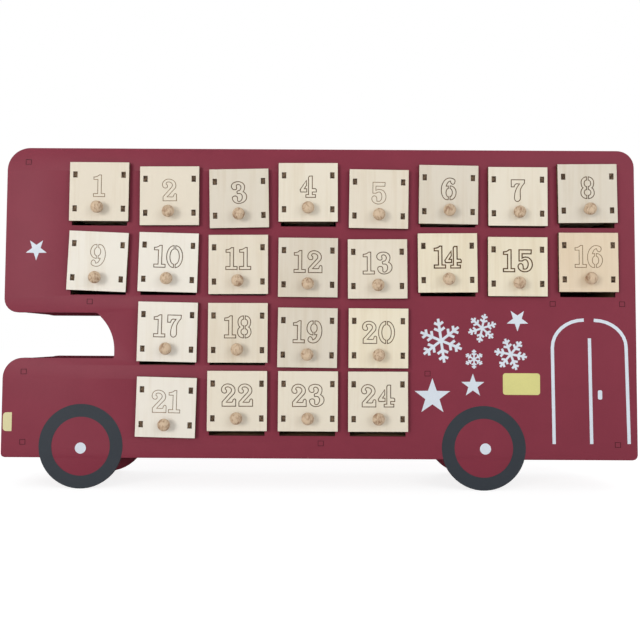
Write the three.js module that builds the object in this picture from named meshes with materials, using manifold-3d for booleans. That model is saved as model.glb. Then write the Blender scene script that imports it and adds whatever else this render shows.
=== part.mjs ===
// Wooden advent calendar in the shape of a double-decker bus, with 24 numbered drawers.
// Millimetres, +Z up. The front looks towards -Y and the front of the bus points to -X.
// The origin is under the middle of the calendar, on the surface that its wheels stand on.

import * as THREE from 'three';
import { mergeVertices } from 'three/addons/utils/BufferGeometryUtils.js';
import Module from 'manifold-3d';

const wasm = await Module();
wasm.setup();

// Boards and fits
const panelThickness = 3;
const wallThickness = 3;
const shelfThickness = 3;
const trayBoard = 3;
const faceThickness = 3;
const seatGap = 0.3;
const runningGap = 0.3;
const wallReveal = 0.4;

// Grid of openings: the lower deck has fewer, behind the columns that the cab takes up
const openingSize = 43.7;
const columnBridge = 11.85;
const rowBridge = 11.6;
const upperRows = 2;
const lowerRows = 2;
const upperColumns = 8;
const lowerColumns = 4;
const cabColumns = 1;

// Casing, measured out from the grid of cells
const noseMargin = 46.6;
const rearMargin = 10.3;
const roofMargin = 12.7;
const sillMargin = 12.1;
const bodyDepth = 70;
const wheelDrop = 24.1;
const wheelDiameter = 66.2;
const frontWheelFromNose = 62.85;
const rearWheelFromRear = 121.25;
const wheelSides = 48;

// Cab notch between the upper deck and the bonnet
const deckBelowOpening = 14.5;
const bonnetAboveShelf = 5;
const windscreenBeforeCell = 14.3;
const windscreenLean = 13.9;
const windscreenDrop = 15.4;

// Corner radii of the outline
const roofFrontRadius = 18;
const roofRearRadius = 13.4;
const deckFrontRadius = 11;
const deckRearRadius = 4;
const windscreenRadius = 37;
const windscreenFootRadius = 1.5;
const bonnetRadius = 16;
const noseFootRadius = 2.8;
const rearFootRadius = 4;
const arcChord = 3;
const stripEnd = 5;

// Inner boards
const topBoardRise = 5.7;
const shelfOverhang = 12;

// Drawers: each face overlaps its opening and hangs a little low on its tray
const faceOverlap = 1.65;
const faceSink = 0.7;
const traySideClearance = 1.2;
const trayLiftRoom = 6.3;
const trayBackClearance = 4;
const tabHeight = 4.8;
const tabKerf = 0.2;
const tabSink = 0.4;
const lowerTabRise = 4.85;

// Turned knobs
const knobHeadRadius = 4.85;
const knobReach = 8;
const knobFootRadius = 3.4;
const knobWaistRadius = 2.7;
const knobPegRadius = 1.7;
const knobPegClearance = 0.3;
const knobFromFaceBottom = 10.4;
const knobSides = 14;

// How each loose drawer sits in its opening, each as a share of the room that it has:
// lift above its shelf, drift to the right, and tilt clockwise as seen from the front
const looseFit = [
  [0.85, 0.5, 0.05], [0.35, 1, -0.15], [0, 1, -0.45], [0.9, -0.3, -0.1],
  [0.05, 0.45, 0.25], [0.7, 0.2, 0.25], [0.5, -0.45, 0.05], [0.95, -0.9, -0.2],
  [0.9, 1, 0.8], [0.75, 1, 0.45], [0.5, 0.5, -0.15], [0.15, -0.05, 0.1],
  [0, -0.8, -0.15], [0.85, -1, -0.2], [0.4, -1, 0.05], [1, -0.4, -0.05],
  [0.8, 1, 0.35], [0.7, 0.6, -0.05], [0.1, -0.2, 0.2], [0.1, 0.2, 0.05],
  [0.1, 0.65, 0.45], [1, 0.55, -0.05], [1, 0.55, 0], [1, -0.05, -0.05],
];

// Rows count from the roof down, columns from the nose
const rowCount = upperRows + lowerRows;
const isLower = (row) => row > upperRows;
const firstColumn = (row) => (isLower(row) ? cabColumns + 1 : 1);
const lastColumn = (row) => (isLower(row) ? cabColumns + lowerColumns : upperColumns);

// Places worked out from the sizes
const columnPitch = openingSize + columnBridge;
const rowPitch = openingSize + rowBridge;
const bodyLength = noseMargin + upperColumns * columnPitch + rearMargin;
const bodyHeight = roofMargin + rowCount * rowPitch + sillMargin;
const noseX = -bodyLength / 2;
const rearX = bodyLength / 2;
const roofZ = wheelDrop + bodyHeight;
const faceFrontY = -seatGap - faceThickness;
const knobFootY = faceFrontY - seatGap;
const frontY = -(bodyDepth + knobFootY - knobReach) / 2;
const backY = frontY + bodyDepth;
const innerFrontY = frontY + panelThickness + seatGap;
const innerBackY = backY - panelThickness - seatGap;
const wheelRadius = wheelDiameter / 2;
const wheelXs = [noseX + frontWheelFromNose, rearX - rearWheelFromRear];
const columnX = (column) => noseX + noseMargin + (column - 0.5) * columnPitch;
const openingCentreZ = (row) => roofZ - roofMargin - (row - 0.5) * rowPitch;
const openingBottomZ = (row) => openingCentreZ(row) - openingSize / 2;
const deckUndersideZ = openingBottomZ(upperRows) - deckBelowOpening;
const bonnetZ = openingBottomZ(upperRows + 1) + bonnetAboveShelf;
const windscreenX = noseX + noseMargin + cabColumns * columnPitch - windscreenBeforeCell;
const topBoardZ = openingCentreZ(1) + openingSize / 2 + topBoardRise;

// The tray, from the drawer's origin in the middle of its face
const faceSize = openingSize + 2 * faceOverlap;
const trayWidth = openingSize - 2 * traySideClearance;
const trayHeight = openingSize - 2 * runningGap - trayLiftRoom;
const trayBottomZ = -openingSize / 2 + runningGap + faceSink;
const trayTopZ = trayBottomZ + trayHeight;
const trayEndY = bodyDepth - panelThickness - trayBackClearance;
const knobZ = -faceSize / 2 + knobFromFaceBottom;
const steepestTilt = Math.asin((2 * (traySideClearance - runningGap)) / trayHeight);

// How far a cutting block runs past what it cuts
const overcut = 1;

// Materials
const finish = (color, roughness) => new THREE.MeshStandardMaterial({ color, roughness, metalness: 0 });
const redPaint = finish(0x7c323f, 0.55);
const plywood = finish(0xe6d8c0, 0.75);
const beech = finish(0xcfae90, 0.6);

// From a three.js geometry to a solid and back
function solidFrom(geometry) {
  geometry.deleteAttribute('normal');
  geometry.deleteAttribute('uv');
  const merged = mergeVertices(geometry, 1e-4);
  return new wasm.Manifold(new wasm.Mesh({
    numProp: 3,
    vertProperties: new Float32Array(merged.attributes.position.array),
    triVerts: new Uint32Array(merged.index.array),
  }));
}

function geometryFrom(solid) {
  const mesh = solid.getMesh();
  const geometry = new THREE.BufferGeometry();
  geometry.setAttribute('position', new THREE.BufferAttribute(new Float32Array(mesh.vertProperties), 3));
  geometry.setIndex(new THREE.BufferAttribute(new Uint32Array(mesh.triVerts), 1));
  geometry.computeVertexNormals();
  return geometry;
}

// A box from its lowest to its highest corner
function block([x0, x1], [y0, y1], [z0, z1]) {
  const geometry = new THREE.BoxGeometry(x1 - x0, y1 - y0, z1 - z0);
  geometry.translate((x0 + x1) / 2, (y0 + y1) / 2, (z0 + z1) / 2);
  return solidFrom(geometry);
}

// A flat plate with an outline in X and Z
function plate(outline, [y0, y1]) {
  const shape = new THREE.Shape(outline);
  const geometry = new THREE.ExtrudeGeometry(shape, { depth: y1 - y0, bevelEnabled: false });
  geometry.rotateX(Math.PI / 2);
  geometry.translate(0, y1, 0);
  return solidFrom(geometry);
}

// A round disc along Y whose flats lie on the radius, with one flat at the bottom
function disc(x, z, radius, [y0, y1], sides) {
  const cornerRadius = radius / Math.cos(Math.PI / sides);
  const geometry = new THREE.CylinderGeometry(cornerRadius, cornerRadius, y1 - y0, sides);
  geometry.rotateY(Math.PI / sides);
  geometry.translate(x, (y0 + y1) / 2, z);
  return solidFrom(geometry);
}

// Outline of the bus body, anticlockwise from the foot of the nose
const bodyCorners = [
  { x: noseX, z: wheelDrop, radius: noseFootRadius },
  { x: rearX, z: wheelDrop, radius: rearFootRadius },
  { x: rearX, z: roofZ, radius: roofRearRadius },
  { x: noseX, z: roofZ, radius: roofFrontRadius },
  { x: noseX, z: deckUndersideZ, radius: deckFrontRadius },
  { x: windscreenX - windscreenLean, z: deckUndersideZ, radius: deckRearRadius },
  { x: windscreenX, z: deckUndersideZ - windscreenDrop, radius: windscreenRadius },
  { x: windscreenX, z: bonnetZ, radius: windscreenFootRadius },
  { x: noseX, z: bonnetZ, radius: bonnetRadius },
];

// The corners drawn inwards by an inset: convex corners tighten and hollow ones widen
function insetCorners(corners, inset) {
  const unit = (a, b) => new THREE.Vector2(b.x - a.x, b.z - a.z).normalize();
  return corners.map((corner, i) => {
    const before = unit(corners.at(i - 1), corner);
    const after = unit(corner, corners[(i + 1) % corners.length]);
    const share = inset / (1 + before.dot(after));
    return {
      x: corner.x - (before.y + after.y) * share,
      z: corner.z + (before.x + after.x) * share,
      radius: Math.max(corner.radius - Math.sign(before.cross(after)) * inset, seatGap),
    };
  });
}

// Points along a polygon with rounded corners
function roundedOutline(corners) {
  const points = [];
  corners.forEach((corner, i) => {
    const last = corners.at(i - 1);
    const next = corners[(i + 1) % corners.length];
    const inward = new THREE.Vector2(corner.x - last.x, corner.z - last.z).normalize();
    const outward = new THREE.Vector2(next.x - corner.x, next.z - corner.z).normalize();
    const turn = Math.atan2(inward.cross(outward), inward.dot(outward));
    const side = Math.sign(turn);
    const tangent = corner.radius * Math.tan(Math.abs(turn) / 2);
    const centreX = corner.x - inward.x * tangent - side * inward.y * corner.radius;
    const centreZ = corner.z - inward.y * tangent + side * inward.x * corner.radius;
    const startAngle = Math.atan2(-side * inward.x, side * inward.y);
    const steps = Math.max(2, Math.ceil((corner.radius * Math.abs(turn)) / arcChord));
    for (let step = 0; step <= steps; step += 1) {
      const angle = startAngle + (turn * step) / steps;
      points.push(new THREE.Vector2(
        centreX + corner.radius * Math.cos(angle),
        centreZ + corner.radius * Math.sin(angle),
      ));
    }
  });
  return points;
}

// The body's outline as a plate, drawn in by an inset
function bodyPlate(inset, span) {
  return plate(roundedOutline(insetCorners(bodyCorners, inset)), span);
}

// Front and back panels share the outline of the body and its wheels
function busPanel(span) {
  const wheels = wheelXs.map((x) => disc(x, wheelRadius, wheelRadius, span, wheelSides));
  return wheels.reduce((panel, wheel) => panel.add(wheel), bodyPlate(0, span));
}

// Calls visit with the number and the middle of each opening
function eachOpening(visit) {
  let number = 0;
  for (let row = 1; row <= rowCount; row += 1) {
    for (let column = firstColumn(row); column <= lastColumn(row); column += 1) {
      number += 1;
      visit(number, columnX(column), openingCentreZ(row));
    }
  }
}

function frontPanel() {
  const half = openingSize / 2;
  const through = [frontY - overcut, frontY + panelThickness + overcut];
  let panel = busPanel([frontY, frontY + panelThickness]);
  eachOpening((number, x, z) => {
    panel = panel.subtract(block([x - half, x + half], through, [z - half, z + half]));
  });
  return panel;
}

// The walls are strips of one closed band round the outline
const wallBand = bodyPlate(wallReveal, [innerFrontY, innerBackY])
  .subtract(bodyPlate(wallReveal + wallThickness, [frontY, backY]));
const wallDepth = [frontY, backY];
const beyondNose = noseX - overcut;
const beyondRear = rearX + overcut;
const wallReach = wallReveal + wallThickness + overcut;
const roofStripZ = roofZ - Math.max(roofFrontRadius, roofRearRadius) - stripEnd;
const deckStripX = noseX + deckFrontRadius + stripEnd;
const floorStripX = [noseX + noseFootRadius + stripEnd, rearX - rearFootRadius - stripEnd];
const floorStripZ = wheelDrop + wallReach;

function wallStrip(spanX, spanZ) {
  return wallBand.intersect(block(spanX, wallDepth, spanZ));
}

const roofWall = () => wallStrip([beyondNose, beyondRear], [roofStripZ, roofZ]);
const floorWall = () => wallStrip(floorStripX, [0, floorStripZ]);
const rearWall = () => wallStrip([floorStripX[1] + seatGap, beyondRear], [0, roofStripZ - seatGap]);

function upperFrontWall() {
  return wallStrip([beyondNose, deckStripX], [deckUndersideZ, roofStripZ - seatGap]);
}

// Deck underside, windscreen, bonnet top and nose, bent from one strip
function cabWall() {
  const strip = wallStrip([beyondNose, windscreenX + wallReach], [0, deckUndersideZ + wallReach]);
  const floorStrip = block([floorStripX[0] - seatGap, beyondRear], wallDepth, [0, floorStripZ]);
  const deckStrip = block([beyondNose, deckStripX + seatGap], wallDepth, [deckUndersideZ, roofZ]);
  return strip.subtract(floorStrip).subtract(deckStrip);
}

// What fits between the panels and inside the walls
const innerSpace = bodyPlate(wallReveal + wallThickness + seatGap, [innerFrontY, innerBackY]);

function innerBoard(spanX, spanZ) {
  return innerSpace.intersect(block(spanX, wallDepth, spanZ));
}

// Board over the first row of cells
function topBoard() {
  return innerBoard([beyondNose, beyondRear], [topBoardZ, topBoardZ + shelfThickness]);
}

// The upright dividers of a row of cells, from one height to another
function dividers(row, spanZ) {
  const uprights = [];
  for (let column = firstColumn(row) - 1; column <= lastColumn(row); column += 1) {
    const x = columnX(column) + columnPitch / 2;
    uprights.push(innerBoard([x - shelfThickness / 2, x + shelfThickness / 2], spanZ));
  }
  return uprights;
}

// A shelf flush with the foot of its row of openings. The dividers of its row are glued on it,
// but the lowest shelf is bare: its dividers are glued under the shelf above.
function shelf(row) {
  const top = openingBottomZ(row);
  const underside = top - shelfThickness;
  const ceiling = row === 1 ? topBoardZ : openingBottomZ(row - 1) - shelfThickness;
  const lastEdge = columnX(lastColumn(row)) + columnPitch / 2;
  const endsShort = isLower(row) && row < rowCount;
  const end = endsShort ? lastEdge + shelfOverhang : beyondRear;
  const pieces = [innerBoard([beyondNose, end], [underside, top])];
  if (row < rowCount) {
    pieces.push(...dividers(row, [top - overcut, ceiling - seatGap]));
  }
  if (row === rowCount - 1) {
    pieces.push(...dividers(rowCount, [openingBottomZ(rowCount) + seatGap, underside + overcut]));
  }
  return pieces.reduce((solid, piece) => solid.add(piece));
}

// A drawer in its own frame: the origin is the middle of its face, on the front of the panel
function drawerSolid() {
  const halfFace = faceSize / 2;
  const halfTray = trayWidth / 2;
  const hollowX = halfTray - trayBoard;
  const face = block([-halfFace, halfFace], [faceFrontY, -seatGap], [-halfFace, halfFace]);
  const tray = block([-halfTray, halfTray], [faceFrontY + overcut, trayEndY], [trayBottomZ, trayTopZ]);
  const hollow = block(
    [-hollowX, hollowX],
    [-seatGap, trayEndY - trayBoard],
    [trayBottomZ + trayBoard, halfFace + overcut],
  );
  let solid = face.add(tray).subtract(hollow);
  for (const z of [trayTopZ - tabHeight, trayBottomZ + lowerTabRise]) {
    for (const side of [-1, 1]) {
      const edges = [side * (hollowX - tabKerf), side * (halfTray + tabKerf)].sort((a, b) => a - b);
      solid = solid.subtract(block(edges, [faceFrontY - overcut, faceFrontY + tabSink], [z, z + tabHeight]));
    }
  }
  const holeSpan = [faceFrontY - overcut, -seatGap + overcut];
  return solid.subtract(disc(0, knobZ, knobPegRadius + knobPegClearance, holeSpan, knobSides));
}

// A turned knob with its peg, on the axis of its hole in the drawer's face
function knobSolid() {
  const profile = [
    [0, -faceThickness],
    [knobPegRadius, -faceThickness],
    [knobPegRadius, 0],
    [knobFootRadius, 0],
    [knobFootRadius, knobReach * 0.07],
    [knobWaistRadius, knobReach * 0.2],
    [knobWaistRadius * 1.08, knobReach * 0.31],
    [knobHeadRadius * 0.93, knobReach * 0.43],
    [knobHeadRadius, knobReach * 0.56],
    [knobHeadRadius * 0.9, knobReach * 0.77],
    [knobHeadRadius * 0.55, knobReach * 0.95],
    [0, knobReach],
  ].map(([radius, height]) => new THREE.Vector2(radius, height));
  const geometry = new THREE.LatheGeometry(profile, knobSides);
  geometry.rotateX(Math.PI);
  geometry.translate(0, knobFootY, knobZ);
  return solidFrom(geometry);
}

// Where a drawer lies in its opening, from its shares of the free room
function placeDrawer(drawer, number, x, z) {
  const [liftShare, driftShare, tiltShare] = looseFit[(number - 1) % looseFit.length];
  const tilt = steepestTilt * tiltShare;
  const slope = Math.sin(Math.abs(tilt));
  const liftRoom = trayLiftRoom - trayWidth * slope;
  const sideRoom = traySideClearance - runningGap - (trayHeight / 2) * slope;
  const lift = liftRoom * liftShare + (trayWidth / 2) * slope;
  drawer.position.set(x + sideRoom * driftShare, frontY, z - faceSink + lift);
  drawer.rotation.y = tilt;
}

// Assembly
const calendar = new THREE.Group();

function addPiece(parent, name, solid, material) {
  const mesh = new THREE.Mesh(geometryFrom(solid), material);
  mesh.name = name;
  parent.add(mesh);
}

addPiece(calendar, 'front_panel', frontPanel(), redPaint);
addPiece(calendar, 'back_panel', busPanel([backY - panelThickness, backY]), redPaint);
addPiece(calendar, 'roof_wall', roofWall(), redPaint);
addPiece(calendar, 'upper_front_wall', upperFrontWall(), redPaint);
addPiece(calendar, 'cab_wall', cabWall(), redPaint);
addPiece(calendar, 'floor_wall', floorWall(), redPaint);
addPiece(calendar, 'rear_wall', rearWall(), redPaint);
addPiece(calendar, 'top_board', topBoard(), plywood);
for (let row = 1; row <= rowCount; row += 1) {
  addPiece(calendar, `shelf_row_${row}`, shelf(row), plywood);
}

eachOpening((number, x, z) => {
  const label = String(number).padStart(2, '0');
  const drawer = new THREE.Group();
  placeDrawer(drawer, number, x, z);
  addPiece(drawer, `drawer_${label}`, drawerSolid(), plywood);
  addPiece(drawer, `knob_${label}`, knobSolid(), beech);
  calendar.add(drawer);
});

export default calendar;
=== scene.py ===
# Looks of the bus-shaped advent calendar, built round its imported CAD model.
# Lengths in this script are millimetres unless a name ends in _m. Meshes are scaled to metres when made.
import math

import bmesh
import bpy
from mathutils import Matrix, Vector
from mathutils.geometry import intersect_point_line


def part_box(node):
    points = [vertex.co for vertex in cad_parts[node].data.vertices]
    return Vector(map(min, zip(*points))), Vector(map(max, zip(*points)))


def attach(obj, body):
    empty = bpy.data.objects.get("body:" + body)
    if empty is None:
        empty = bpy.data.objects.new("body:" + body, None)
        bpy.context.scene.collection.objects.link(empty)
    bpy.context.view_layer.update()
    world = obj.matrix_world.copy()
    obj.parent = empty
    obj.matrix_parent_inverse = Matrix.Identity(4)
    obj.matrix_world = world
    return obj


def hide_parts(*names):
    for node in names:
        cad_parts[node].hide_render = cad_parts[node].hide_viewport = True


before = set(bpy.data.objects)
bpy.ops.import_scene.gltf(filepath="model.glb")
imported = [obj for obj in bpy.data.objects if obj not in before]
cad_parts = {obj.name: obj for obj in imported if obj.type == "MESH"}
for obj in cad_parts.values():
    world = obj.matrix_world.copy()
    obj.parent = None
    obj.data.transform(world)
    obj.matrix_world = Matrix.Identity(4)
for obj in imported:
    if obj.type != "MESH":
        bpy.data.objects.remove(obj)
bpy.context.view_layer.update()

MM = 0.001

# Sizes that the looks add to the frame
PANEL_BURN = 0.35        # dark rim that the laser left round the front panel
BOARD_BURN = 0.15        # softened edge of a bare plywood board
PRINT_THICKNESS = 0.08   # ink, drawn as a thin skin on the panel

# How outlines are drawn
CURVE_STEPS = 8          # straight stretches in each curve
QUARTER_HANDLE = 0.5523  # handle length that makes a cubic curve a quarter ellipse
BLUNT_CORNER = 0.5       # how far a moved corner may reach out
SHARPEST_INWARD = 0.05   # how far one may reach in
OFFSET_KEPT = 0.995      # share of the distance that a moved point has to keep
WELD_REACH = 0.002       # points nearer than this are joined
SAME_PLANE = 0.01        # corners within this of a height lie on the face there
STRAIGHT = 0.001         # points that lie this near a straight stretch are dropped
FACING_Y = 0.9           # a normal with more of Y than this belongs to a flat side
BOARD_SMOOTH_ANGLE = 30  # in degrees: a board's edges that turn more than this stay sharp

# Drawer, as in the CAD model
FACE_SIZE = 47.0
FACE_THICKNESS = 3.0
SEAT_GAP = 0.3
TRAY_WIDTH = 41.3
TRAY_HEIGHT = 36.8
TRAY_BOTTOM = -20.85
TRAY_BOARD = 3.0
TAB_HEIGHT = 4.8
TAB_KERF = 0.2
LOWER_TAB_RISE = 4.85

# Drawer details that only the looks have
DRAWER_COUNT = 24
TAB_SHORT = 0.35
FINGERS = 5
NUMERAL_HEIGHT = 17.4
NUMERAL_FROM_TOP = 10.2
NUMERAL_SPACING = 1.9
GROOVE_DEPTH = 0.3
GROOVE_OVERCUT = 1.0
KNOB_SIDES = 40
KNOB_SMOOTH_ANGLE = 60   # in degrees

# How much nearer or farther than the usual spacing two figures of a numeral stand
KERNING = {"10": -0.9, "14": -2.4, "15": 0.8, "16": -0.9, "18": -0.5, "20": -0.5}


def node_box(name):
    """A CAD node's lowest and highest corners, in mm."""
    low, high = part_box(name)
    return Vector(low) / MM, Vector(high) / MM


PANEL_LOW, PANEL_HIGH = node_box("front_panel")
FRONT_Y = PANEL_LOW.y
NOSE_X = PANEL_LOW.x
REAR_X = PANEL_HIGH.x
CENTRE_X = (NOSE_X + REAR_X) / 2
TRAY_END = node_box("drawer_04")[1].y - FRONT_Y


# Node helpers for materials

def rgb(red, green, blue):
    """An sRGB colour of 0 to 255 as the linear colour that a shader takes."""
    def linear(value):
        value /= 255
        return value / 12.92 if value <= 0.04045 else ((value + 0.055) / 1.055) ** 2.4
    return (linear(red), linear(green), linear(blue), 1.0)


class Shader:
    """A material's node tree with short calls to add nodes."""

    def __init__(self, name, roughness, specular):
        self.material = bpy.data.materials.new(name)
        self.material.use_nodes = True
        self.tree = self.material.node_tree
        self.surface = self.tree.nodes["Principled BSDF"]
        self.surface.inputs["Roughness"].default_value = roughness
        self.surface.inputs["Specular IOR Level"].default_value = specular
        self.place = self.tree.nodes.new("ShaderNodeTexCoord").outputs["Object"]

    def link(self, output, node, socket):
        self.tree.links.new(output, node.inputs[socket])

    def stretched(self, scale, start):
        """The object's own coordinates, stretched by a scale and moved by a start along X, Y and Z."""
        mapping = self.tree.nodes.new("ShaderNodeMapping")
        mapping.inputs["Location"].default_value = start
        mapping.inputs["Scale"].default_value = scale
        self.link(self.place, mapping, "Vector")
        return mapping.outputs["Vector"]

    def noise(self, scale, detail, stretch=(1, 1, 1), distortion=0.0, start=(0, 0, 0)):
        node = self.tree.nodes.new("ShaderNodeTexNoise")
        node.inputs["Scale"].default_value = scale
        node.inputs["Detail"].default_value = detail
        node.inputs["Distortion"].default_value = distortion
        self.link(self.stretched(stretch, start), node, "Vector")
        return node.outputs["Fac"]

    def ramp(self, factor, stops):
        node = self.tree.nodes.new("ShaderNodeValToRGB")
        ramp = node.color_ramp
        while len(ramp.elements) < len(stops):
            ramp.elements.new(0.5)
        for element, (place, colour) in zip(ramp.elements, stops):
            element.position = place
            element.color = colour
        self.link(factor, node, "Fac")
        return node.outputs["Color"]

    def mix(self, share, first, second):
        """The first output with a share of the second."""
        node = self.tree.nodes.new("ShaderNodeMix")
        node.data_type = "RGBA"
        node.inputs[0].default_value = share
        self.tree.links.new(first, node.inputs[6])
        self.tree.links.new(second, node.inputs[7])
        return node.outputs[2]

    def bump(self, height, strength, distance_m):
        node = self.tree.nodes.new("ShaderNodeBump")
        node.inputs["Strength"].default_value = strength
        node.inputs["Distance"].default_value = distance_m
        self.link(height, node, "Height")
        self.link(node.outputs["Normal"], self.surface, "Normal")

    def finish(self, colour):
        self.link(colour, self.surface, "Base Color")
        return self.material


def shade(colour, factor):
    """A linear colour made darker or lighter by a factor."""
    return tuple(min(channel * factor, 1) for channel in colour[:3]) + (1.0,)


# How much the pattern of wood grain is drawn out along the fibres
FIBRE_STRETCH = 0.045


def painted(name, base, roughness=0.45, specular=0.12):
    """Even paint or ink with a faint mottle and a fine skin."""
    shader = Shader(name, roughness, specular)
    cloud = shader.noise(35, 4)
    fine = shader.noise(900, 2)
    blend = shader.mix(0.35, cloud, fine)
    shader.bump(fine, 0.12, 0.00012)
    return shader.finish(shader.ramp(blend, [(0.3, shade(base, 0.94)), (0.7, shade(base, 1.05))]))


def birch(name, light, dark, grain_axis, start=(0, 0, 0)):
    """Pale plywood veneer with long fibres along one axis, fine pores and a few darker streaks."""
    shader = Shader(name, 0.62, 0.2)
    along = [1.0, 1.0, 1.0]
    along[grain_axis] = FIBRE_STRETCH
    fibres = shader.noise(420, 5, along, 0.4, start)
    figure = shader.noise(60, 3, along, 1.2, start)
    patch = shader.noise(14, 2, (1, 1, 1), 0.0, start)
    grain = shader.mix(0.5, fibres, figure)
    tone = shader.mix(0.35, grain, patch)
    shader.bump(fibres, 0.25, 0.0002)
    return shader.finish(shader.ramp(tone, [(0.3, dark), (0.52, light), (0.75, light)]))


def turned(name, light, dark):
    """Turned beech: end grain in blotches with short dark flecks."""
    shader = Shader(name, 0.55, 0.25)
    blotch = shader.noise(230, 3, (1, 1, 1), 0.8)
    fleck = shader.noise(900, 3, (1, 0.3, 0.4), 0.3)
    tone = shader.mix(0.4, blotch, fleck)
    shader.bump(fleck, 0.3, 0.0002)
    return shader.finish(shader.ramp(tone, [(0.36, dark), (0.52, light), (0.8, shade(light, 1.12))]))


def burnt(name, deep, brown, scale=260):
    """A laser-cut edge, scorched unevenly."""
    shader = Shader(name, 0.8, 0.15)
    scorch = shader.noise(scale, 4, (1, 1, 1), 0.6)
    shader.bump(scorch, 0.3, 0.0002)
    return shader.finish(shader.ramp(scorch, [(0.35, deep), (0.7, brown)]))


RED = painted("red paint", rgb(127, 50, 65))
RED_EDGE = burnt("burnt red edge", rgb(48, 22, 24), rgb(84, 36, 42))
BOARD_CORE = burnt("burnt board edge", rgb(50, 32, 24), rgb(92, 62, 44))
# The walls' red is the panel's red paint made darker as painted shade, and made less glossy.
SHADED_WALL_RED = painted("red wall paint with painted shade", rgb(110, 44, 56), 0.8, 0.0)
WHITE_INK = painted("white ink", rgb(212, 220, 229))
TYRE_INK = painted("tyre ink", rgb(54, 59, 65))
YELLOW_INK = painted("yellow ink", rgb(213, 208, 137))
LAMP_INK = painted("lamp ink", rgb(214, 207, 160))
MARK_INK = painted("tab outline", rgb(62, 20, 30))
# The plywood inside the casing is bare birch made much darker as painted shade.
SHADED_INNER_PLY = birch("inner plywood with painted shade", rgb(128, 104, 78), rgb(100, 78, 56), 0)
PLY_BURN = burnt("burnt plywood", rgb(34, 23, 19), rgb(78, 54, 40))
FACE_BURN = burnt("burnt face edge", rgb(66, 48, 36), rgb(126, 98, 74))
TAB_END = burnt("burnt tab end", rgb(50, 38, 30), rgb(128, 106, 84), 700)
BEECH = turned("turned beech", rgb(204, 180, 152), rgb(150, 118, 92))

# The veneer of each drawer: its colour and the drawers that have it
VENEER_SORTS = {
    "ivory": (rgb(231, 225, 213), (9, 10, 17, 21)),
    "cream": (rgb(223, 213, 195), (1, 2, 5, 11, 13, 18)),
    "sand": (rgb(216, 207, 191), (3, 6, 8, 12, 19)),
    "straw": (rgb(226, 217, 199), (4, 7, 22, 23, 24)),
    "butter": (rgb(230, 220, 197), (14, 15, 20)),
    "honey": (rgb(223, 205, 179), (16,)),
}

# A veneer's streaks, as a share of its red, green and blue
VENEER_STREAK = (0.9, 0.86, 0.8)
VENEERS = {}
for order, (sort, (tint, numbers)) in enumerate(VENEER_SORTS.items()):
    streak = tuple(channel * share for channel, share in zip(tint, VENEER_STREAK)) + (1.0,)
    material = birch(f"{sort} birch veneer", tint, streak, 2, (order * 0.7, 0, order * 0.4))
    VENEERS.update({number: material for number in numbers})

# How strongly the laser burnt each numeral: the line's width, its two browns and the drawers that have it
BURN_SORTS = {
    "strong": (0.95, rgb(66, 42, 16), rgb(106, 74, 38), (14, 15)),
    "even": (
        0.66, rgb(70, 48, 24), rgb(112, 82, 50),
        (3, 4, 6, 7, 8, 10, 11, 12, 13, 17, 18, 19, 20, 22, 23, 24),
    ),
    "faint": (0.52, rgb(116, 90, 62), rgb(156, 130, 98), (1, 2, 5, 9, 16, 21)),
}
NUMERAL_LINES = {}
for sort, (width, deep, brown, numbers) in BURN_SORTS.items():
    material = burnt(f"{sort} engraved line", deep, brown)
    NUMERAL_LINES.update({number: (width, material) for number in numbers})


# Mesh helpers

def area(loop):
    """A loop's area, above 0 when it runs anticlockwise."""
    return sum(a[0] * b[1] - b[0] * a[1] for a, b in zip(loop, loop[1:] + loop[:1])) / 2


def board(name, loops, y0, y1, edge=0.0, flat=0, cut=1):
    """A flat board cut from X and Z loops, from y0 at its front to y1, with softened edges. Its flat
    sides and its cut edges take the numbered materials."""
    curve = bpy.data.curves.new(name, "CURVE")
    curve.dimensions = "2D"
    curve.fill_mode = "BOTH"
    curve.extrude = (y1 - y0) / 2 - edge
    curve.bevel_depth = edge
    curve.bevel_resolution = 1
    curve.offset = -edge
    largest = max(loops, key=lambda loop: abs(area(loop)))
    for loop in loops:
        hole = loop is not largest and edge > 0
        points = loop if (area(loop) > 0) != hole else loop[::-1]
        spline = curve.splines.new("POLY")
        spline.points.add(len(points) - 1)
        for point, (x, z) in zip(spline.points, points):
            point.co = (x, z, 0, 1)
        spline.use_cyclic_u = True
    holder = bpy.data.objects.new(name, curve)
    mesh = bpy.data.meshes.new_from_object(holder)
    bpy.data.objects.remove(holder)
    bpy.data.curves.remove(curve)
    mesh.name = name
    mesh.transform(Matrix.Translation((0, (y0 + y1) / 2, 0)) @ Matrix.Rotation(math.pi / 2, 4, "X"))
    shape = bmesh.new()
    shape.from_mesh(mesh)
    bmesh.ops.remove_doubles(shape, verts=shape.verts, dist=WELD_REACH)
    bmesh.ops.recalc_face_normals(shape, faces=shape.faces)
    shape.to_mesh(mesh)
    shape.free()
    for polygon in mesh.polygons:
        polygon.material_index = flat if abs(polygon.normal.y) > FACING_Y else cut
    return mesh


def joined(name, meshes):
    """One mesh holding all the given ones."""
    shape = bmesh.new()
    for mesh in meshes:
        shape.from_mesh(mesh)
        bpy.data.meshes.remove(mesh)
    result = bpy.data.meshes.new(name)
    shape.to_mesh(result)
    shape.free()
    return result


def piece(name, mesh, materials, smooth_angle=None, place=None):
    """An object of a mesh in mm, in metres and with its materials."""
    for material in materials:
        mesh.materials.append(material)
    if place is not None:
        mesh.transform(place)
    mesh.transform(Matrix.Scale(MM, 4))
    obj = bpy.data.objects.new(name, mesh)
    bpy.context.collection.objects.link(obj)
    if smooth_angle is not None:
        mesh.shade_smooth()
        mesh.set_sharp_from_angle(angle=math.radians(smooth_angle))
    return obj


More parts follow.
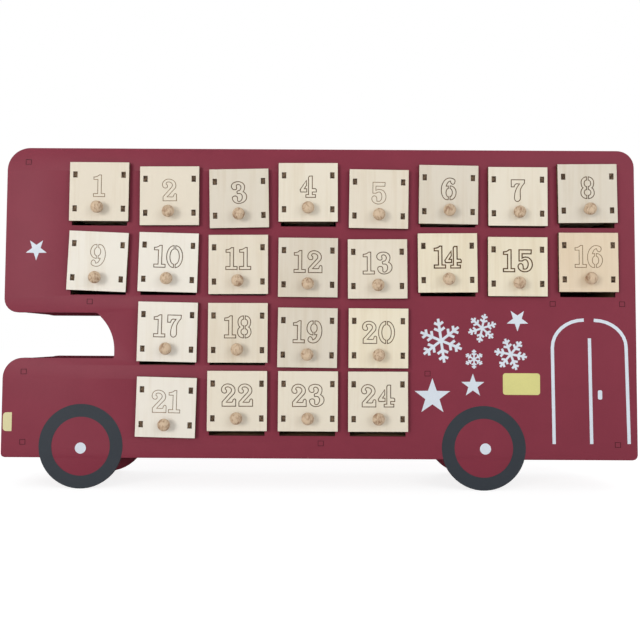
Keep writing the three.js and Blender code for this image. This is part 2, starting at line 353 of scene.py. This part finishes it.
def face_loops(name, y):
    """The outline loops of a CAD node's flat face at y, in mm."""
    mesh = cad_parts[name].data
    count = {}
    for polygon in mesh.polygons:
        if all(abs(mesh.vertices[i].co.y / MM - y) < SAME_PLANE for i in polygon.vertices):
            corners = [tuple(round(mesh.vertices[i].co[a] / MM, 3) for a in (0, 2)) for i in polygon.vertices]
            for start, end in zip(corners, corners[1:] + corners[:1]):
                count[start, end] = count.get((start, end), 0) + 1
    following = {start: end for (start, end) in count if (end, start) not in count}
    loops = []
    while following:
        start = next(iter(following))
        loop = [start]
        step = following.pop(start)
        while step != start:
            loop.append(step)
            step = following.pop(step)
        loops.append(straightened(loop))
    return loops


def straightened(loop):
    """The loop without points that lie on a straight stretch."""
    kept = []
    for i, point in enumerate(loop):
        before = Vector(loop[i - 1])
        after = Vector(loop[(i + 1) % len(loop)])
        here = Vector(point)
        if abs((here - before).cross(after - here)) > STRAIGHT * (after - before).length:
            kept.append(point)
    return kept


# Outlines

def trace(steps):
    """Points along a contour from its start (m), by lines (l), quadratic curves (q) and quarter
    ellipses that leave vertically (v) or horizontally (h)."""
    points = [Vector(steps[0][1:])]
    for kind, *values in steps[1:]:
        start, end = points[-1], Vector(values[-2:])
        if kind == "l":
            points.append(end)
            continue
        run = end - start
        if kind == "v":
            handles = start + Vector((0, QUARTER_HANDLE * run.y)), end - Vector((QUARTER_HANDLE * run.x, 0))
        elif kind == "h":
            handles = start + Vector((QUARTER_HANDLE * run.x, 0)), end - Vector((0, QUARTER_HANDLE * run.y))
        else:
            control = Vector(values[:2])
            handles = start.lerp(control, 2 / 3), end.lerp(control, 2 / 3)
        for step in range(1, CURVE_STEPS + 1):
            t = step / CURVE_STEPS
            s = 1 - t
            points.append(
                start * s ** 3 + handles[0] * 3 * s * s * t + handles[1] * 3 * s * t * t + end * t ** 3
            )
    if (points[0] - points[-1]).length < 0.01:
        points.pop()
    return [tuple(point) for point in points]


def gap_to(point, loop):
    """The distance from a point to a closed loop."""
    nearest = math.inf
    for start, end in zip(loop, loop[1:] + loop[:1]):
        foot, share = intersect_point_line(point, start, end)
        if share <= 0 or share >= 1:
            foot = Vector(start if share <= 0 else end)
        nearest = min(nearest, (Vector(point) - foot).length)
    return nearest


def offset_loop(loop, distance):
    """The closed loop moved sideways, to the left of its direction. Points that end up too near the
    loop are left out."""
    moved = []
    for i, point in enumerate(loop):
        before = (Vector(point) - Vector(loop[i - 1])).normalized()
        after = (Vector(loop[(i + 1) % len(loop)]) - Vector(point)).normalized()
        side = Vector((-before.y - after.y, before.x + after.x))
        inward = (before.cross(after) > 0) == (distance > 0)
        spread = max(1 + before.dot(after), SHARPEST_INWARD if inward else BLUNT_CORNER)
        place = tuple(Vector(point) + side * (distance / spread))
        if not inward or gap_to(place, loop) > abs(distance) * OFFSET_KEPT:
            moved.append(place)
    return moved


def stroke(points, width):
    """The outline of an open line of the given width, with flat ends."""
    left, right = [], []
    for i, point in enumerate(points):
        here = Vector(point)
        before = Vector(points[i - 1]) if i else here
        after = Vector(points[i + 1]) if i + 1 < len(points) else here
        way = (after - before).normalized()
        side = Vector((-way.y, way.x)) * (width / 2)
        left.append(tuple(here + side))
        right.append(tuple(here - side))
    return left + right[::-1]


def box_loop(x0, x1, z0, z1):
    return [(x0, z0), (x1, z0), (x1, z1), (x0, z1)]


def circle(x, z, radius, sides=72):
    return [
        (x + radius * math.cos(math.tau * i / sides), z + radius * math.sin(math.tau * i / sides))
        for i in range(sides)
    ]


def rounded_box(x0, z0, x1, z1, radius):
    return trace([
        ("m", x0 + radius, z0), ("l", x1 - radius, z0), ("h", x1, z0 + radius), ("l", x1, z1 - radius),
        ("v", x1 - radius, z1), ("l", x0 + radius, z1), ("h", x0, z1 - radius), ("l", x0, z0 + radius),
        ("v", x0 + radius, z0),
    ])


def star(x, z, radius, turn):
    """A five-pointed star, with a point up when it isn't turned."""
    points = []
    for i in range(10):
        reach = radius * (1 if i % 2 == 0 else STAR_WAIST)
        angle = math.radians(turn) + math.pi / 2 + math.tau * i / 10
        points.append((x + reach * math.cos(angle), z + reach * math.sin(angle)))
    return points


def snowflake(x, z, radius, width, turn):
    """A six-armed snowflake with two pairs of barbs on each arm."""
    half = width / 2
    lean = Vector((math.sin(math.pi / 3), math.cos(math.pi / 3)))
    across = Vector((-lean.y, lean.x)) * width
    side = [Vector((half, half / math.tan(math.pi / 6)))]
    for along, length in SNOW_BARBS:
        root = Vector((half, radius * along))
        tip = root + lean * radius * length
        side += [root, tip, tip + across, Vector((half, root.y + width / math.sin(math.pi / 3)))]
    side.append(Vector((half, radius)))
    arm = side[1:] + [Vector((-point.x, point.y)) for point in reversed(side)]
    points = []
    for i in range(6):
        angle = math.radians(turn) + math.tau * i / 6
        turned = Matrix.Rotation(angle, 2)
        points += [tuple(Vector((x, z)) + turned @ point) for point in arm]
    return points


# Casing

def casing_board(name, materials, edge):
    """A casing piece made anew from its CAD outline, all of them being cut along Y."""
    low, high = node_box(name)
    mesh = board(name, face_loops(name, low.y), low.y, high.y, edge)
    obj = piece(f"{name}_board", mesh, materials, BOARD_SMOOTH_ANGLE)
    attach(obj, "casing")
    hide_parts(name)


def make_casing():
    for name in ("front_panel", "back_panel"):
        casing_board(name, [RED, RED_EDGE], PANEL_BURN)
    # The walls' outer faces take the red that is darkened as painted shade.
    for name in ("roof_wall", "upper_front_wall", "cab_wall", "floor_wall", "rear_wall"):
        casing_board(name, [BOARD_CORE, SHADED_WALL_RED], BOARD_BURN)
    # The shelves' plywood faces are darkened as painted shade.
    for name in ("top_board", "shelf_row_1", "shelf_row_2", "shelf_row_3", "shelf_row_4"):
        casing_board(name, [PLY_BURN, SHADED_INNER_PLY], BOARD_BURN)


# Printed decoration on the front panel

def ink(name, loops, material):
    mesh = board(name, loops, FRONT_Y - PRINT_THICKNESS, FRONT_Y, cut=0)
    obj = piece(name, mesh, [material])
    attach(obj, "casing")


WHEEL_RADIUS = 33.1
TYRE_INSET = 0.05
HUB_RADIUS = 23.0
HUB_DOT_RADIUS = 4.35
HUB_DOT_SIDES = 40
FRONT_WHEEL_FROM_NOSE = 62.85
REAR_WHEEL_FROM_REAR = 121.25
WHEELS = {"front": NOSE_X + FRONT_WHEEL_FROM_NOSE, "rear": REAR_X - REAR_WHEEL_FROM_REAR}
DOOR_LINE = 2.6

# The reach of a star's inner corners, as a share of its radius
STAR_WAIST = 0.4

# Where each pair of barbs starts on a snowflake's arm and how long it is, as shares of the radius
SNOW_BARBS = ((0.4, 0.24), (0.68, 0.2))

# Middles of the hub dots, which are printed a little off the wheels' own, and of the small
# outlines where boards of the casing end, all in X and Z
HUB_DOTS = {"front": (-187.9, 31.6), "rear": (130.7, 32.5)}
TAB_MARKS = [
    (-233.8, 258.7), (-182.8, 147.1), (184.6, 147.1), (239.7, 147.1), (-233.9, 91.4),
    (85.2, 91.4), (-233.7, 36.2), (1.1, 36.2), (234.9, 36.2),
]


def make_wheels():
    for name, x in WHEELS.items():
        rims = [circle(x, WHEEL_RADIUS, radius) for radius in (WHEEL_RADIUS - TYRE_INSET, HUB_RADIUS)]
        ink(f"{name}_tyre_print", rims, TYRE_INK)
        dot = circle(*HUB_DOTS[name], HUB_DOT_RADIUS, HUB_DOT_SIDES)
        ink(f"{name}_hub_dot", [dot], WHITE_INK)


def make_stars():
    """Each star's middle, radius and turn."""
    stars = {
        "nose_star": (-226.1, 188.45, 8.8, 36), "high_star": (156.5, 134.1, 9.0, 36),
        "large_star": (89.0, 73.15, 14.7, 0), "small_star": (121.0, 82.1, 9.5, 0),
    }
    for name, (x, z, radius, turn) in stars.items():
        ink(name, [star(x, z, radius, turn)], WHITE_INK)


def make_snowflakes():
    """Each snowflake's middle, radius, line width and turn."""
    flakes = {
        "large_snowflake": (96.0, 117.5, 17.5, 2.1, 8), "middle_snowflake": (128.5, 127.5, 11.5, 1.6, -12),
        "low_snowflake": (151.0, 107.0, 13.0, 1.8, 20), "small_snowflake": (122.0, 103.0, 7.5, 1.2, 0),
    }
    for name, (x, z, radius, width, turn) in flakes.items():
        ink(name, [snowflake(x, z, radius, width, turn)], WHITE_INK)


def make_door():
    left = trace([("m", 184.8, 36.7), ("l", 184.0, 112.4), ("v", 209.1, 134.4)])
    right = trace([("m", 243.8, 37.0), ("l", 242.4, 112.7), ("v", 217.0, 134.2)])
    middle = [(214.3, 36.8), (213.4, 119.9)]
    for name, line in (("door_left_line", left), ("door_right_line", right), ("door_middle_line", middle)):
        ink(name, [stroke(line, DOOR_LINE)], WHITE_INK)
    ink("door_handle", [rounded_box(219.6, 71.7, 223.0, 79.0, 1.2)], WHITE_INK)


def make_lamp_and_plate():
    lamp = trace([
        ("m", -249.4, 47.4), ("v", -246.6, 44.6), ("l", -242.4, 44.6), ("l", -242.4, 59.3),
        ("l", -246.6, 59.3), ("h", -249.4, 56.5), ("l", -249.4, 47.4),
    ])
    ink("headlamp_print", [lamp], LAMP_INK)
    ink("plate_print", [rounded_box(144.7, 75.05, 174.0, 92.05, 2.2)], YELLOW_INK)


def make_tab_marks():
    half_x, half_z, line = 2.3, 2.1, 0.4
    for i, (x, z) in enumerate(TAB_MARKS, 1):
        outer = box_loop(x - half_x, x + half_x, z - half_z, z + half_z)
        ink(f"tab_mark_{i}", [outer, offset_loop(outer, line)], MARK_INK)


# Numerals: each glyph's contours in mm, from its left end on the baseline
SIX = [
    [
        ("m", 5.6, 0), ("l", 4.6, 0), ("h", 0, 7.8), ("v", 6.7, 17.4), ("h", 10.9, 15.0),
        ("v", 9.1, 12.4), ("q", 7.7, 12.6, 7.1, 15.0), ("q", 4.6, 14.2, 3.9, 10.8), ("l", 5.6, 11.0),
        ("l", 5.6, 8.9), ("h", 3.8, 5.7), ("v", 5.6, 2.5), ("l", 5.6, 0),
    ],
    [
        ("m", 7.0, 0), ("l", 7.5, 0), ("h", 11.8, 6.0), ("v", 7.0, 11.1), ("l", 7.0, 8.9),
        ("h", 8.8, 5.7), ("v", 7.0, 2.5), ("l", 7.0, 0),
    ],
]
EIGHT_HALF = [
    ("m", 4.65, 17.4), ("h", 0.3, 12.9), ("q", 0.3, 9.6, 1.9, 8.6), ("q", 0, 7.4, 0, 4.5),
    ("v", 4.65, 0), ("l", 4.65, 2.6), ("h", 2.7, 4.9), ("v", 4.65, 7.2), ("l", 4.65, 9.6),
    ("h", 2.7, 12.2), ("v", 4.65, 14.8), ("l", 4.65, 17.4),
]
ZERO_HALF = [
    ("m", 5.65, 17.4), ("h", 0, 8.7), ("v", 5.65, 0), ("l", 5.65, 2.7), ("h", 2.6, 8.7),
    ("v", 5.65, 14.7), ("l", 5.65, 17.4),
]

# Each glyph's width and its contours
GLYPHS = {
    "1": (8.9, [
        [
            ("m", 0, 0), ("l", 8.9, 0), ("l", 8.9, 2.4), ("l", 6.1, 2.4), ("l", 6.1, 17.4),
            ("l", 4.4, 17.4), ("q", 2.9, 15.7, 0.1, 15.7), ("l", 0.1, 13.7), ("l", 3.3, 13.7),
            ("l", 3.3, 2.4), ("l", 0, 2.4),
        ],
    ]),
    "2": (11.3, [
        [
            ("m", 0.6, 0), ("l", 11.3, 0), ("l", 11.3, 4.6), ("q", 11.1, 5.7, 10.2, 5.7),
            ("q", 9.2, 5.6, 9.0, 4.2), ("q", 8.9, 3.1, 7.8, 3.1), ("l", 3.7, 3.1), ("l", 10.1, 10.0),
            ("q", 10.7, 11.0, 10.7, 12.4), ("v", 4.9, 17.4), ("h", 0, 12.9), ("v", 2.4, 10.2),
            ("q", 4.2, 10.2, 4.0, 12.0), ("q", 3.9, 12.9, 3.0, 13.3), ("q", 2.9, 15.1, 4.9, 15.1),
            ("h", 7.9, 12.6), ("q", 7.9, 11.6, 6.9, 10.4), ("l", 0.6, 3.4),
        ],
    ]),
    "3": (12.1, [
        [
            ("m", 0.7, 4.4), ("v", 5.6, 0), ("h", 12.1, 5.1), ("q", 12.1, 7.9, 9.3, 9.3),
            ("q", 10.5, 10.8, 10.5, 13.3), ("v", 5.3, 17.4), ("h", 0, 13.9), ("v", 2.7, 11.0),
            ("q", 4.6, 11.0, 4.1, 13.0), ("q", 3.5, 15.2, 5.4, 15.2), ("h", 7.6, 12.8),
            ("v", 5.2, 10.1), ("q", 4.4, 10.0, 4.4, 9.0), ("l", 4.7, 7.9), ("l", 6.4, 7.9),
            ("h", 8.6, 5.2), ("v", 6.0, 1.5), ("q", 4.5, 1.5, 4.8, 3.5), ("q", 5.0, 6.0, 2.9, 6.0),
            ("h", 0.7, 4.4),
        ],
    ]),
    "4": (12.9, [
        [
            ("m", 0.5, 4.3), ("l", 5.3, 4.3), ("l", 5.3, 6.9), ("l", 3.3, 6.9), ("l", 5.1, 9.7),
            ("l", 5.1, 13.9), ("l", 0, 6.1),
        ],
        [
            ("m", 4.6, 0), ("l", 12.2, 0), ("l", 12.2, 2.2), ("l", 9.7, 2.2), ("l", 9.7, 4.3),
            ("l", 12.9, 4.3), ("l", 12.9, 6.2), ("l", 12.1, 7.0), ("l", 9.7, 7.0), ("l", 9.7, 17.1),
            ("l", 7.5, 17.1), ("l", 6.7, 15.9), ("l", 6.7, 2.2), ("l", 4.6, 2.2),
        ],
    ]),
    "5": (11.3, [
        [
            ("m", 0.8, 17.4), ("l", 0.8, 8.6), ("l", 3.4, 8.6), ("q", 4.2, 9.6, 5.9, 9.6),
            ("h", 8.0, 6.1), ("v", 5.7, 2.2), ("l", 4.1, 2.2), ("l", 4.0, 4.2), ("v", 2.1, 6.5),
            ("h", 0, 4.2), ("v", 5.5, 0), ("h", 11.3, 5.8), ("v", 6.2, 11.7),
            ("q", 4.5, 11.7, 3.2, 10.9), ("l", 3.2, 14.3), ("l", 10.3, 14.3), ("l", 10.5, 17.4),
        ],
    ]),
    "6": (11.8, SIX),
    "7": (10.6, [
        [
            ("m", 0, 17.4), ("l", 0, 11.7), ("l", 2.3, 11.7), ("q", 2.8, 14.2, 4.4, 14.2),
            ("l", 6.6, 14.1), ("q", 2.5, 9.5, 2.5, 2.8), ("v", 4.8, 0), ("h", 7.2, 2.8),
            ("l", 7.1, 8.5), ("q", 7.4, 11.3, 10.5, 14.8), ("l", 10.6, 17.4),
        ],
    ]),
    "8": (10.6, [EIGHT_HALF]),
    "9": (11.8, SIX),
    "0": (12.6, [ZERO_HALF]),
}


def glyph_loops(character):
    """A glyph's width and its contours. The nine is the six turned round. Eight and nought have two
    halves."""
    width, contours = GLYPHS[character]
    loops = [trace(contour) for contour in contours]
    if character == "9":
        loops = [[(width - x, NUMERAL_HEIGHT - z) for x, z in loop] for loop in loops]
    if character in "80":
        loops += [[(width - x, z) for x, z in reversed(loop)] for loop in loops]
    return width, loops


def numeral_loops(number):
    """Contours of a numeral, centred on the face."""
    glyphs = [glyph_loops(character) for character in str(number)]
    spacing = NUMERAL_SPACING + KERNING.get(str(number), 0)
    total = sum(width for width, loops in glyphs) + spacing * (len(glyphs) - 1)
    x = -total / 2
    base = FACE_SIZE / 2 - NUMERAL_FROM_TOP - NUMERAL_HEIGHT
    placed = []
    for width, loops in glyphs:
        placed += [[(px + x, pz + base) for px, pz in loop] for loop in loops]
        x += width + spacing
    return placed


# Drawers, each in its own frame: the origin is the middle of the face, on the front of the panel
FACE_FRONT = -SEAT_GAP - FACE_THICKNESS
HALF_FACE = FACE_SIZE / 2
HALF_TRAY = TRAY_WIDTH / 2
HALF_HOLLOW = HALF_TRAY - TRAY_BOARD
HOLLOW_END = TRAY_END - TRAY_BOARD
TRAY_FRONT = -SEAT_GAP
TRAY_TOP = TRAY_BOTTOM + TRAY_HEIGHT
TAB_BOTTOMS = (TRAY_BOTTOM + LOWER_TAB_RISE, TRAY_TOP - TAB_HEIGHT)


def engrave(mesh, loops, width):
    """Cuts a thin groove along each loop into the front of a drawer's face, in its third material."""
    holder = bpy.data.objects.new("groove_target", mesh)
    bpy.context.collection.objects.link(holder)
    rings = []
    for i, loop in enumerate(loops):
        sides = [offset_loop(loop, width / 2), offset_loop(loop, -width / 2)]
        span = FACE_FRONT - GROOVE_OVERCUT, FACE_FRONT + GROOVE_DEPTH
        rings.append(board(f"groove_{i}", sides, *span, flat=2, cut=2))
    tool = bpy.data.objects.new("groove_tool", joined("groove_tool", rings))
    bpy.context.collection.objects.link(tool)
    cut = holder.modifiers.new("groove", "BOOLEAN")
    cut.object = tool
    cut.operation = "DIFFERENCE"
    cut.solver = "EXACT"
    cut.material_mode = "INDEX"
    cut.use_self = True
    bpy.context.view_layer.update()
    result = bpy.data.meshes.new_from_object(holder.evaluated_get(bpy.context.evaluated_depsgraph_get()))
    bpy.data.objects.remove(holder)
    bpy.data.objects.remove(tool)
    return result


def drawer_face(number, veneer):
    """A face with its four slots and its engraved numeral, in three materials."""
    line_width, line = NUMERAL_LINES[number]
    slots = []
    for bottom in TAB_BOTTOMS:
        for side in (-1, 1):
            low, high = sorted((side * (HALF_HOLLOW - TAB_KERF), side * (HALF_TRAY + TAB_KERF)))
            slots.append(box_loop(low, high, bottom, bottom + TAB_HEIGHT))
    outline = box_loop(-HALF_FACE, HALF_FACE, -HALF_FACE, HALF_FACE)
    mesh = board(f"face_{number:02d}", [outline] + slots, FACE_FRONT, -SEAT_GAP, BOARD_BURN)
    for material in (veneer, FACE_BURN, line):
        mesh.materials.append(material)
    return engrave(mesh, numeral_loops(number), line_width)


def fingers(start, end, level, other):
    """Corners along an edge from start to end that steps between two levels, beginning and ending on
    the first."""
    points = []
    pitch = (end - start) / FINGERS
    for i in range(FINGERS):
        here = level if i % 2 == 0 else other
        points += [(start + i * pitch, here), (start + (i + 1) * pitch, here)]
    return points


def swapped(points):
    return [(b, a) for a, b in points]


def without_repeats(points):
    return [point for i, point in enumerate(points) if math.dist(point, points[i - 1]) > 1e-6]


def side_outline():
    """A side board in Y and Z: notches for the floor below and for the back behind, tabs through the face."""
    points = fingers(TRAY_FRONT, TRAY_END, TRAY_BOTTOM, TRAY_BOTTOM + TRAY_BOARD)
    points += swapped(fingers(TRAY_BOTTOM, TRAY_TOP, TRAY_END, HOLLOW_END))
    points.append((TRAY_FRONT, TRAY_TOP))
    tab_end = FACE_FRONT + TAB_SHORT
    for bottom in reversed(TAB_BOTTOMS):
        low, high = bottom + TAB_KERF, bottom + TAB_HEIGHT - TAB_KERF
        points += [(TRAY_FRONT, high), (tab_end, high), (tab_end, low), (TRAY_FRONT, low)]
    return without_repeats(points)


def back_outline():
    """The back board in X and Z, with fingers into both sides and notches for the floor."""
    points = fingers(-HALF_HOLLOW, HALF_HOLLOW, TRAY_BOTTOM, TRAY_BOTTOM + TRAY_BOARD)
    right = swapped(fingers(TRAY_BOTTOM, TRAY_TOP, HALF_HOLLOW, HALF_TRAY))
    left = [(-x, z) for x, z in reversed(right)]
    return without_repeats(points + right + left)


def floor_outline():
    """The floor board in X and Y, with fingers into both sides and the back."""
    right = swapped(fingers(TRAY_FRONT, TRAY_END, HALF_HOLLOW, HALF_TRAY))[:-1]
    right.append((HALF_HOLLOW, HOLLOW_END))
    back = fingers(HALF_HOLLOW, -HALF_HOLLOW, HOLLOW_END, TRAY_END)
    left = [(-x, y) for x, y in reversed(right)]
    return without_repeats(right + back + left)


# From a board made in X and Z, with its thickness along Y, to a side in Y and Z or a floor in X and Y
TO_SIDE = Matrix(((0, 1, 0, 0), (1, 0, 0, 0), (0, 0, 1, 0), (0, 0, 0, 1)))
TO_FLOOR = Matrix(((1, 0, 0, 0), (0, 0, 1, 0), (0, 1, 0, 0), (0, 0, 0, 1)))


def tray_board(outline, start, turn=None):
    """One board of a tray, whose thickness runs from the start."""
    mesh = board("tray_board", [outline], start, start + TRAY_BOARD, BOARD_BURN)
    if turn is not None:
        mesh.transform(turn)
        mesh.flip_normals()
    return mesh


def tray_mesh(number):
    """Two sides, a back and a floor, each a board of its own that meets the next in fingers. The tab ends
    that show in the face keep their own material, and all other cut edges take the third."""
    mesh = joined(f"tray_{number:02d}", [
        tray_board(side_outline(), -HALF_TRAY, TO_SIDE),
        tray_board(side_outline(), HALF_HOLLOW, TO_SIDE),
        tray_board(back_outline(), HOLLOW_END),
        tray_board(floor_outline(), TRAY_BOTTOM, TO_FLOOR),
    ])
    for polygon in mesh.polygons:
        if polygon.material_index == 1 and polygon.center.y > TRAY_FRONT - FACE_THICKNESS / 2:
            polygon.material_index = 2
    return mesh


def drawer_place(number):
    """A drawer's place with its turn, and its knob's height, from the middles of its CAD face and knob."""
    face_low, face_high = node_box(f"drawer_{number:02d}")
    knob_low, knob_high = node_box(f"knob_{number:02d}")
    face = (face_low + face_high) / 2
    knob = (knob_low + knob_high) / 2
    turn = math.atan2(face.x - knob.x, face.z - knob.z)
    drop = math.hypot(face.x - knob.x, face.z - knob.z)
    place = Matrix.Translation((face.x, FRONT_Y, face.z)) @ Matrix.Rotation(turn, 4, "Y")
    return place, -drop


# Radius and height along a turned knob, from its foot to its top
KNOB_PROFILE = [
    (0, 0), (3.4, 0), (3.45, 0.3), (3.1, 0.75), (2.75, 1.4), (2.7, 2.0), (2.9, 2.5), (3.6, 3.0), (4.4, 3.55),
    (4.8, 4.2), (4.85, 4.7), (4.65, 5.5), (4.1, 6.35), (3.2, 7.15), (2.1, 7.7), (1.0, 7.95), (0, 8),
]


def knob_mesh(number, drop):
    """A turned knob standing on the face along -Y."""
    shape = bmesh.new()
    rings = []
    for radius, height in KNOB_PROFILE:
        if radius == 0:
            rings.append([shape.verts.new((0, FACE_FRONT - SEAT_GAP - height, drop))])
            continue
        rings.append([
            shape.verts.new((
                radius * math.cos(math.tau * i / KNOB_SIDES),
                FACE_FRONT - SEAT_GAP - height,
                drop + radius * math.sin(math.tau * i / KNOB_SIDES),
            ))
            for i in range(KNOB_SIDES)
        ])
    for lower, upper in zip(rings, rings[1:]):
        for i in range(KNOB_SIDES):
            after = (i + 1) % KNOB_SIDES
            corners = [lower[i % len(lower)], lower[after % len(lower)]]
            corners += [upper[after % len(upper)], upper[i % len(upper)]]
            shape.faces.new(list(dict.fromkeys(corners)))
    bmesh.ops.recalc_face_normals(shape, faces=shape.faces)
    mesh = bpy.data.meshes.new(f"knob_{number:02d}")
    shape.to_mesh(mesh)
    shape.free()
    return mesh


def make_drawer(number):
    label = f"{number:02d}"
    body = f"drawer_{label}"
    place, knob_z = drawer_place(number)
    veneer = VENEERS[number]
    face = piece(f"face_{label}", drawer_face(number, veneer), [], place=place)
    tray = piece(f"tray_{label}", tray_mesh(number), [veneer, TAB_END, PLY_BURN], place=place)
    knob = piece(f"turned_knob_{label}", knob_mesh(number, knob_z), [BEECH], KNOB_SMOOTH_ANGLE, place)
    for obj, node, slot in ((face, body, "drawer_plywood"), (tray, body, "drawer_plywood"),
                            (knob, f"knob_{label}", "knob_wood")):
        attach(obj, body)
        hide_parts(node)


# Stage, camera and light
FLOOR_REACH_M = 6.0
FLOOR_COLOUR = (0.95, 0.95, 0.95, 1)
FLOOR_GLOW = 1.36
FLOOR_GLOW_SHARE = 0.6
SKY_COLOUR = (0.94, 0.97, 1.0, 1)
SKY_STRENGTH = 0.52
LAMP_AIM_M = (0, 0, 0.12)

# Each lamp's place and size in metres, its watts and its colour
LAMPS = {
    "key": ((-1.7, -2.1, 0.55), 1.2, 31.0, (1.0, 0.98, 0.95)),
    "fill": ((1.4, -1.6, 0.9), 1.4, 11.0, (1.0, 1.0, 1.0)),
    "behind": ((0.9, 2.2, 1.0), 1.4, 14.0, (1.0, 0.99, 0.97)),
}

# Camera, fitted to the photograph: distances in mm, turns in degrees
CAMERA_DISTANCE = 500.0
CAMERA_HEIGHT = 117.6
CAMERA_PITCH = 2.256
CAMERA_ROLL = 0.304
CAMERA_CLIP_M = 0.01
FOCAL_PIXELS = 631.0
PICTURE_PIXELS = 640.0
AXIS_PIXELS_ABOVE_CENTRE = 5.0
SENSOR = 36.0


def stage_material():
    """White to the camera with a little of the light that really falls on it, so that shadows stay."""
    material = bpy.data.materials.new("pale floor")
    material.use_nodes = True
    tree = material.node_tree
    tree.nodes.clear()
    output = tree.nodes.new("ShaderNodeOutputMaterial")
    diffuse = tree.nodes.new("ShaderNodeBsdfDiffuse")
    diffuse.inputs["Color"].default_value = FLOOR_COLOUR
    glow = tree.nodes.new("ShaderNodeEmission")
    glow.inputs["Strength"].default_value = FLOOR_GLOW
    seen = tree.nodes.new("ShaderNodeLightPath")
    share = tree.nodes.new("ShaderNodeMath")
    share.operation = "MULTIPLY"
    share.inputs[1].default_value = FLOOR_GLOW_SHARE
    tree.links.new(seen.outputs["Is Camera Ray"], share.inputs[0])
    mix = tree.nodes.new("ShaderNodeMixShader")
    tree.links.new(share.outputs[0], mix.inputs[0])
    tree.links.new(diffuse.outputs[0], mix.inputs[1])
    tree.links.new(glow.outputs[0], mix.inputs[2])
    tree.links.new(mix.outputs[0], output.inputs["Surface"])
    return material


def make_floor():
    mesh = bpy.data.meshes.new("floor")
    corners = [(x, y, 0) for x, y in box_loop(-FLOOR_REACH_M, FLOOR_REACH_M, -FLOOR_REACH_M, FLOOR_REACH_M)]
    mesh.from_pydata(corners, [], [(0, 1, 2, 3)])
    mesh.materials.append(stage_material())
    floor = bpy.data.objects.new("floor", mesh)
    bpy.context.collection.objects.link(floor)


def make_world():
    """Soft light from all round, and plain white behind the object."""
    world = bpy.data.worlds.new("studio")
    bpy.context.scene.world = world
    world.use_nodes = True
    tree = world.node_tree
    light = tree.nodes["Background"]
    light.inputs["Color"].default_value = SKY_COLOUR
    light.inputs["Strength"].default_value = SKY_STRENGTH
    white = tree.nodes.new("ShaderNodeBackground")
    white.inputs["Color"].default_value = (1, 1, 1, 1)
    white.inputs["Strength"].default_value = 1.0
    path = tree.nodes.new("ShaderNodeLightPath")
    camera_or_glossy = tree.nodes.new("ShaderNodeMath")
    camera_or_glossy.operation = "MAXIMUM"
    tree.links.new(path.outputs["Is Camera Ray"], camera_or_glossy.inputs[0])
    tree.links.new(path.outputs["Is Glossy Ray"], camera_or_glossy.inputs[1])
    any_view = tree.nodes.new("ShaderNodeMath")
    any_view.operation = "MAXIMUM"
    tree.links.new(camera_or_glossy.outputs[0], any_view.inputs[0])
    tree.links.new(path.outputs["Is Transmission Ray"], any_view.inputs[1])
    mix = tree.nodes.new("ShaderNodeMixShader")
    tree.links.new(any_view.outputs[0], mix.inputs[0])
    tree.links.new(light.outputs[0], mix.inputs[1])
    tree.links.new(white.outputs[0], mix.inputs[2])
    tree.links.new(mix.outputs[0], tree.nodes["World Output"].inputs["Surface"])


def make_lamp(name, place_m, size_m, watts, colour):
    data = bpy.data.lights.new(name, "AREA")
    data.shape = "DISK"
    data.size = size_m
    data.energy = watts
    data.color = colour
    lamp = bpy.data.objects.new(name, data)
    lamp.location = place_m
    lamp.rotation_euler = (Vector(LAMP_AIM_M) - Vector(place_m)).to_track_quat("-Z", "Y").to_euler()
    bpy.context.collection.objects.link(lamp)


def make_camera():
    data = bpy.data.cameras.new("camera")
    data.sensor_width = SENSOR
    data.lens = FOCAL_PIXELS / PICTURE_PIXELS * SENSOR
    data.shift_y = -AXIS_PIXELS_ABOVE_CENTRE / PICTURE_PIXELS
    data.clip_start = CAMERA_CLIP_M
    camera = bpy.data.objects.new("camera", data)
    place = Matrix.Translation(Vector((CENTRE_X, FRONT_Y - CAMERA_DISTANCE, CAMERA_HEIGHT)) * MM)
    pitch = Matrix.Rotation(math.radians(90 + CAMERA_PITCH), 4, "X")
    roll = Matrix.Rotation(math.radians(CAMERA_ROLL), 4, "Z")
    camera.matrix_world = place @ (pitch @ roll)
    bpy.context.collection.objects.link(camera)
    bpy.context.scene.camera = camera


make_camera()
make_world()
make_floor()
for lamp_name, lamp_values in LAMPS.items():
    make_lamp(lamp_name, *lamp_values)
make_casing()
make_wheels()
make_stars()
make_snowflakes()
make_door()
make_lamp_and_plate()
make_tab_marks()
for drawer_number in range(1, DRAWER_COUNT + 1):
    make_drawer(drawer_number)

bpy.context.scene.view_settings.view_transform = "Standard"
bpy.context.view_layer.update()
